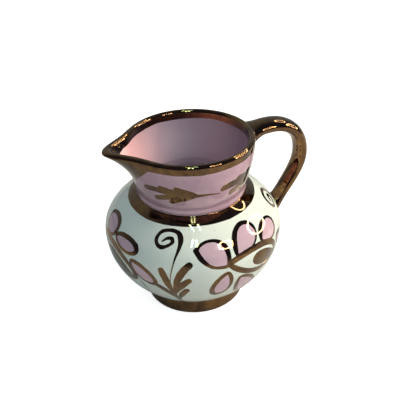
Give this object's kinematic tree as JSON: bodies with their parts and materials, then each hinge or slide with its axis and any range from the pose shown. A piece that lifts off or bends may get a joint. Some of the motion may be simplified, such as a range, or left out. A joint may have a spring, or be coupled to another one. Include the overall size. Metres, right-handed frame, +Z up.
{
  "type": "cream jug",
  "caption": "Small round-bellied porcelain cream jug on a foot ring, with a flaring neck drawn out into a pouring lip and a strap handle from rim to belly.",
  "frame": {"origin": "centre of the foot's underside, on the jug's axis", "axes": "+Z up, +X towards the handle, -X towards the pouring lip"},
  "size_m": [0.096, 0.08, 0.081],
  "materials": {
    "white_glaze": "glossy",
    "pink_lustre": "glossy",
    "copper_lustre": "glossy"
  },
  "bodies": {
    "root": {"foot_ring": "copper_lustre", "belly": "white_glaze", "neck": "pink_lustre", "handle": "copper_lustre", "upper_handle_joint": "copper_lustre", "lower_handle_joint": "copper_lustre"}
  },
  "joints": []
}
